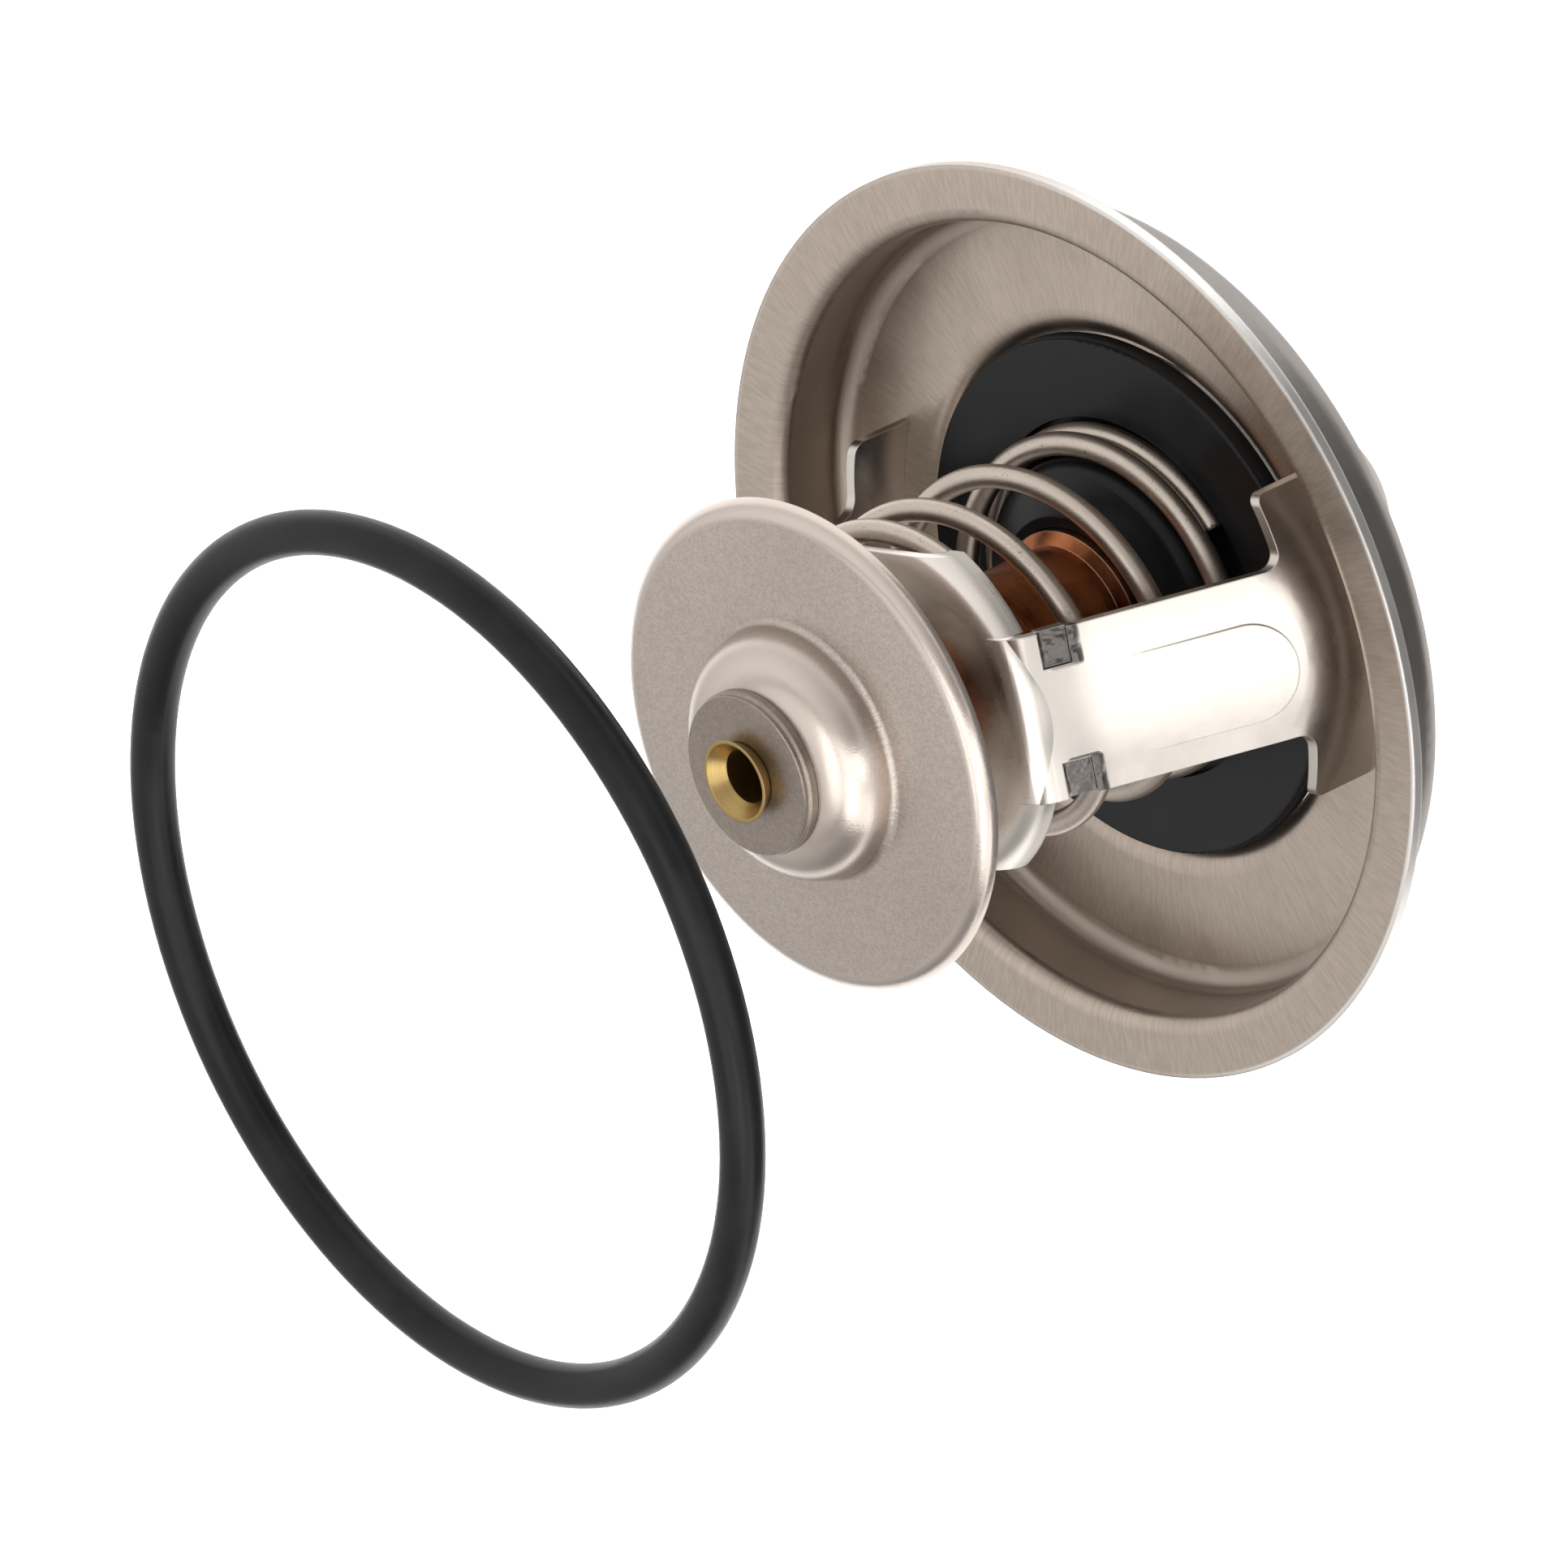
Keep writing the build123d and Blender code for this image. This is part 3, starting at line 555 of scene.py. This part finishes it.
def drawn_wire(colour, sizes):
    """Smooth drawn spring wire with small dark specks."""
    finish = Finish("drawn_wire", metallic=1.0, roughness=0.38)
    grain = finish.effect("grain", Size=sizes.grain_size)
    tree = finish.tree
    specks = remap(tree, grain["Grain"], 0.40, 0.32)
    finish.feed("Base Color", finish.colour_between(specks, colour, shade(colour, 0.5)))
    finish.feed("Roughness", spread(tree, grain["Mottle"], 0.34, 0.44))
    finish.feed("Normal", finish.bump(grain["Grain"], distance=0.000012, strength=0.6))
    return finish.material


def tarnished_copper(colour, sizes):
    """Drawn copper, tarnished dark in patches, with fine drawing rings and a painted highlight on its edges.
    """
    finish = Finish("tarnished_copper", metallic=1.0, roughness=0.25)
    rings = finish.effect("rings", Pitch=0.0004, Uneven=0.6)
    grain = finish.effect("grain", Size=sizes.grain_size)
    edge = finish.effect("edge", Radius=sizes.edge_round)
    tree = finish.tree
    tarnish = remap(tree, grain["Mottle"], 0.35, 0.65)
    tint = finish.colour_between(tarnish, shade(colour, 0.55), shade(colour, 1.25))
    # Painted highlight on the cup's edges.
    finish.feed("Base Color", finish.colour_between(edge["Edge"], tint, CUP_EDGE_HIGHLIGHT))
    finish.feed("Roughness", spread(tree, grain["Mottle"], 0.18, 0.34))
    finish.feed("Normal", finish.bump(rings["Rings"], distance=0.00002, strength=0.5, normal=edge["Normal"]))
    return finish.material


def turned_brass(colour, sizes):
    """Turned brass with fine tool rings and painted highlights on its edges."""
    finish = Finish("turned_brass", metallic=1.0, roughness=0.32)
    rings = finish.effect("rings", Pitch=0.00012, Uneven=0.2)
    edge = finish.effect("edge", Radius=sizes.edge_round)
    tone = spread(finish.tree, rings["Rings"])
    tint = finish.colour_between(tone, shade(colour, 0.85), shade(colour, 1.1))
    # Painted highlight on the cut edges.
    finish.feed("Base Color", finish.colour_between(edge["Edge"], tint, shade(colour, 1.3)))
    finish.feed("Normal", finish.bump(rings["Rings"], distance=0.000008, strength=0.6, normal=edge["Normal"]))
    return finish.material


def moulded_rubber(colour, sizes):
    """Matt moulded rubber with a faint bloom and a fine tooth."""
    finish = Finish("moulded_rubber", metallic=0.0, roughness=0.40)
    finish.shader.inputs["Specular IOR Level"].default_value = 0.17
    grain = finish.effect("grain", Size=sizes.grain_size)
    tree = finish.tree
    bloom = remap(tree, grain["Mottle"], 0.35, 0.75)
    finish.feed("Base Color", finish.colour_between(bloom, colour, shade(colour, 1.6)))
    finish.feed("Roughness", spread(tree, grain["Mottle"], 0.27, 0.38))
    finish.feed("Normal", finish.bump(grain["Grain"], distance=0.000008, strength=0.4))
    return finish.material


def ground_steel(colour):
    """Ground and polished steel."""
    finish = Finish("ground_steel", metallic=1.0, roughness=0.14)
    rings = finish.effect("rings", Pitch=0.00006, Uneven=0.1)
    tone = spread(finish.tree, rings["Rings"])
    finish.feed("Base Color", finish.colour_between(tone, shade(colour, 0.94), shade(colour, 1.04)))
    finish.feed("Normal", finish.bump(rings["Rings"], distance=0.000002, strength=0.5))
    return finish.material


def filled_wax(colour, sizes):
    """Wax with fine copper powder in it."""
    finish = Finish("filled_wax", metallic=0.0, roughness=0.6)
    grain = finish.effect("grain", Size=sizes.grain_size)
    specks = remap(finish.tree, grain["Grain"], 0.55, 0.65)
    finish.feed("Base Color", finish.colour_between(specks, colour, COPPER_POWDER))
    return finish.material


def slippery_plastic(colour, sizes):
    """Smooth white low-friction plastic."""
    finish = Finish("slippery_plastic", metallic=0.0, roughness=0.35)
    grain = finish.effect("grain", Size=sizes.grain_size)
    tone = spread(finish.tree, grain["Mottle"])
    finish.feed("Base Color", finish.colour_between(tone, shade(colour, 0.96), colour))
    return finish.material


def finish_node(name, material):
    """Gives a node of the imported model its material."""
    piece = frame["nodes"][name]
    piece.data.materials.clear()
    piece.data.materials.append(material)


def settings(context):
    """The sidebar's colours and sizes."""
    return context.scene.thermostat_colours, context.scene.thermostat_sizes


def add_object(name, data):
    """Puts a new object into the scene."""
    piece = bpy.data.objects.new(name, data)
    bpy.context.scene.collection.objects.link(piece)
    return piece


def mesh_of(shape, name, material):
    """Turns a finished bmesh into a mesh with a material."""
    mesh = bpy.data.meshes.new(name)
    shape.to_mesh(mesh)
    shape.free()
    mesh.materials.append(material)
    return mesh


# ---------------------------------------------------------------- pieces
class THERMOSTAT_OT_mounting_flange(bpy.types.Operator):
    """Give the mounting flange its pressed steel finish"""

    bl_idname = "thermostat.mounting_flange"
    bl_label = "Mounting Flange"

    def execute(self, context):
        colours, sizes = settings(context)
        finish_node("mounting_flange", pressed_steel(colours.flange, sizes))
        return {"FINISHED"}


class THERMOSTAT_OT_frame_and_bridge(bpy.types.Operator):
    """Give the lower frame, the upper bridge and the piston their finishes"""

    bl_idname = "thermostat.frame_and_bridge"
    bl_label = "Frame, Bridge and Piston"

    def execute(self, context):
        colours, sizes = settings(context)
        steel = bright_steel(colours.frame, sizes)
        finish_node("lower_frame", steel)
        finish_node("upper_bridge", steel)
        finish_node("piston", ground_steel(colours.ground))
        return {"FINISHED"}


class THERMOSTAT_OT_main_valve(bpy.types.Operator):
    """Give the main valve's rubber face, its plate and its retainer their finishes"""

    bl_idname = "thermostat.main_valve"
    bl_label = "Main Valve"

    def execute(self, context):
        colours, sizes = settings(context)
        finish_node("valve_seal", moulded_rubber(colours.rubber, sizes))
        steel = blasted_steel("valve_plate_steel", colours.disc, sizes, roughness=0.38)
        finish_node("valve_plate", steel)
        finish_node("valve_retainer", steel)
        return {"FINISHED"}


class THERMOSTAT_OT_capsule(bpy.types.Operator):
    """Give the wax capsule's outer and inner pieces their finishes"""

    bl_idname = "thermostat.capsule"
    bl_label = "Wax Capsule"

    def execute(self, context):
        colours, sizes = settings(context)
        rubber = moulded_rubber(colours.rubber, sizes)
        finish_node("capsule_cup", tarnished_copper(colours.copper, sizes))
        finish_node("capsule_guide", turned_brass(colours.brass, sizes))
        finish_node("anti_extrusion_disc", slippery_plastic(colours.plastic, sizes))
        finish_node("rubber_plug", rubber)
        finish_node("diaphragm", rubber)
        finish_node("wax_charge", filled_wax(colours.wax, sizes))
        return {"FINISHED"}


class THERMOSTAT_OT_bypass_valve(bpy.types.Operator):
    """Give the bypass disc, its washer and its stem their finishes"""

    bl_idname = "thermostat.bypass_valve"
    bl_label = "Bypass Valve"

    def execute(self, context):
        colours, sizes = settings(context)
        disc_steel = blasted_steel("disc_steel", colours.disc, sizes, roughness=0.38, domed=True)
        washer_steel = blasted_steel("washer_steel", colours.washer, sizes, roughness=0.42)
        finish_node("bypass_disc", disc_steel)
        finish_node("stem_washer", washer_steel)
        finish_node("bypass_stem", turned_brass(colours.brass, sizes))
        return {"FINISHED"}


def spring_piece(node, body, material):
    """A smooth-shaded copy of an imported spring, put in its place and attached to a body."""
    shape = bmesh.new()
    shape.from_mesh(frame["nodes"][node].data)
    bmesh.ops.remove_doubles(shape, verts=shape.verts, dist=MERGE_DISTANCE)
    mesh = mesh_of(shape, node + "_wire", material)
    mesh.shade_smooth()
    piece = add_object(node + "_wire", mesh)
    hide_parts(node)
    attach(piece, body)
    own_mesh(piece)


class THERMOSTAT_OT_springs(bpy.types.Operator):
    """Make the main spring and the bypass spring as smooth copies of the imported ones, attached to their
    bodies
    """

    bl_idname = "thermostat.springs"
    bl_label = "Springs"

    def execute(self, context):
        colours, sizes = settings(context)
        wire = drawn_wire(colours.wire, sizes)
        spring_piece("main_spring", "fixed", wire)
        spring_piece("bypass_spring", "valve_unit", wire)
        return {"FINISHED"}


class THERMOSTAT_OT_sealing_ring(bpy.types.Operator):
    """Give the sealing ring its rubber finish"""

    bl_idname = "thermostat.sealing_ring"
    bl_label = "Sealing Ring"

    def execute(self, context):
        colours, sizes = settings(context)
        finish_node("sealing_ring", moulded_rubber(colours.rubber, sizes))
        return {"FINISHED"}


# ---------------------------------------------------------------- studio
def level_sheet(name, low, high, height, material):
    """A level rectangle between two corners, at a height."""
    shape = bmesh.new()
    bmesh.ops.create_grid(shape, x_segments=1, y_segments=1, size=0.5)
    bmesh.ops.scale(shape, verts=shape.verts, vec=(high[0] - low[0], high[1] - low[1], 1))
    middle = ((low[0] + high[0]) / 2, (low[1] + high[1]) / 2, height)
    bmesh.ops.translate(shape, verts=shape.verts, vec=middle)
    return add_object(name, mesh_of(shape, name, material))


def make_floor(colour, width, height):
    """A pale floor that is pure white behind the thermostat and keeps its shadow."""
    finish = Finish("floor_white", metallic=0.0, roughness=0.9)
    finish.shader.inputs["Base Color"].default_value = (*colour, 1)
    tree = finish.tree
    path = tree.nodes.new("ShaderNodeLightPath")
    seen = math_node(tree, "MAXIMUM", path.outputs["Is Camera Ray"], path.outputs["Is Transmission Ray"])
    mirrored = math_node(tree, "MULTIPLY", path.outputs["Is Glossy Ray"], MIRRORED_GLOW)
    glow = tree.nodes.new("ShaderNodeEmission")
    tree.links.new(math_node(tree, "MULTIPLY_ADD", seen, SEEN_GLOW, mirrored), glow.inputs["Strength"])
    both = tree.nodes.new("ShaderNodeAddShader")
    tree.links.new(finish.shader.outputs[0], both.inputs[0])
    tree.links.new(glow.outputs[0], both.inputs[1])
    tree.links.new(both.outputs[0], tree.nodes["Material Output"].inputs["Surface"])
    reach = width / 2
    floor = level_sheet("floor", (-reach, -reach), (reach, reach), height, finish.material)


def make_flag(corners, height):
    """A dark card on the floor beside the flange, which only reflections see."""
    finish = Finish("flag_black", metallic=0.0, roughness=0.9)
    finish.shader.inputs["Base Color"].default_value = (FLAG_GREY, FLAG_GREY, FLAG_GREY, 1)
    flag = level_sheet("flag", *corners, height, finish.material)
    flag.visible_camera = False
    flag.visible_diffuse = False
    flag.visible_shadow = False


def make_sky(bright, shaded):
    """A light all round that falls off from the studio's bright side to its shaded one."""
    world = bpy.data.worlds.new("studio")
    bpy.context.scene.world = world
    world.use_nodes = True
    tree = world.node_tree
    direction = tree.nodes.new("ShaderNodeTexCoord").outputs["Generated"]
    facing = tree.nodes.new("ShaderNodeVectorMath")
    facing.operation = "DOT_PRODUCT"
    tree.links.new(direction, facing.inputs[0])
    facing.inputs[1].default_value = BRIGHT_SIDE
    level = remap(tree, facing.outputs["Value"], *SKY_LEAN, shaded, bright, smooth=False)
    path = tree.nodes.new("ShaderNodeLightPath")
    level = math_node(tree, "MAXIMUM", level, path.outputs["Is Camera Ray"])
    background = tree.nodes["Background"]
    background.inputs["Color"].default_value = (1, 1, 1, 1)
    tree.links.new(level, background.inputs["Strength"])


def softbox(name, towards, distance, width, height, power):
    """A rectangular lamp in a direction from the thermostat, turned to face it."""
    lamp = bpy.data.lights.new(name, "AREA")
    lamp.shape = "RECTANGLE"
    lamp.size = width
    lamp.size_y = height
    lamp.energy = power
    direction = Vector(towards).normalized()
    place = direction.to_track_quat("Z", "Y").to_matrix().to_4x4()
    place.translation = LAMP_AIM + direction * distance
    add_object(name, lamp).matrix_world = place


def make_camera():
    """The camera, far back with a long lens."""
    camera = add_object("camera", bpy.data.cameras.new("camera"))
    camera.data.sensor_width = SENSOR_WIDTH_MM
    camera.data.lens = SENSOR_WIDTH_MM * LENS_PIXELS / FRAME_PIXELS
    camera.data.clip_end = FAR_CLIP
    place = Matrix((CAMERA_RIGHT, CAMERA_UP, CAMERA_BACK)).transposed().to_4x4()
    place.translation = CAMERA_PLACE
    camera.matrix_world = place
    bpy.context.scene.camera = camera


class THERMOSTAT_OT_studio(bpy.types.Operator):
    """Set up the floor, the dark card, the sky, the softboxes and the camera"""

    bl_idname = "thermostat.studio"
    bl_label = "Studio"

    def execute(self, context):
        colours, sizes = settings(context)
        lowest = CAD_BOX[0][2]
        make_floor(colours.backdrop, sizes.floor_width, lowest - sizes.floor_drop)
        make_sky(sizes.sky_strength, sizes.sky_shade)
        make_flag(FLAG_CORNERS, lowest - sizes.floor_drop / 2)
        softbox("key", *SOFTBOXES["key"], sizes.key_power)
        softbox("side", *SOFTBOXES["side"], sizes.side_power)
        softbox("top", *SOFTBOXES["top"], sizes.top_power)
        make_camera()
        context.scene.view_settings.view_transform = "Standard"
        return {"FINISHED"}


OPERATORS = (
    THERMOSTAT_OT_mounting_flange,
    THERMOSTAT_OT_frame_and_bridge,
    THERMOSTAT_OT_main_valve,
    THERMOSTAT_OT_capsule,
    THERMOSTAT_OT_bypass_valve,
    THERMOSTAT_OT_springs,
    THERMOSTAT_OT_sealing_ring,
    THERMOSTAT_OT_studio,
)


class THERMOSTAT_PT_sidebar(bpy.types.Panel):
    """Lists the thermostat's pieces, colours and sizes"""

    bl_label = "Thermostat"
    bl_idname = "THERMOSTAT_PT_sidebar"
    bl_space_type = "VIEW_3D"
    bl_region_type = "UI"
    bl_category = "Thermostat"

    def draw(self, context):
        for operator in OPERATORS:
            self.layout.operator(operator.bl_idname)
        for group in settings(context):
            box = self.layout.box()
            for name in group.__annotations__:
                box.prop(group, name)


CLASSES = (ThermostatColours, ThermostatSizes, *OPERATORS, THERMOSTAT_PT_sidebar)


def register():
    """Adds the classes and the scene's settings."""
    for cls in CLASSES:
        bpy.utils.register_class(cls)
    bpy.types.Scene.thermostat_colours = PointerProperty(type=ThermostatColours)
    bpy.types.Scene.thermostat_sizes = PointerProperty(type=ThermostatSizes)


def unregister():
    """Removes them again."""
    del bpy.types.Scene.thermostat_sizes
    del bpy.types.Scene.thermostat_colours
    for cls in reversed(CLASSES):
        bpy.utils.unregister_class(cls)


def main():
    """Builds every piece and the studio."""
    register()
    build_groups()
    bpy.ops.thermostat.mounting_flange()
    bpy.ops.thermostat.frame_and_bridge()
    bpy.ops.thermostat.main_valve()
    bpy.ops.thermostat.capsule()
    bpy.ops.thermostat.bypass_valve()
    bpy.ops.thermostat.springs()
    bpy.ops.thermostat.sealing_ring()
    bpy.ops.thermostat.studio()


if __name__ == "__main__":
    main()
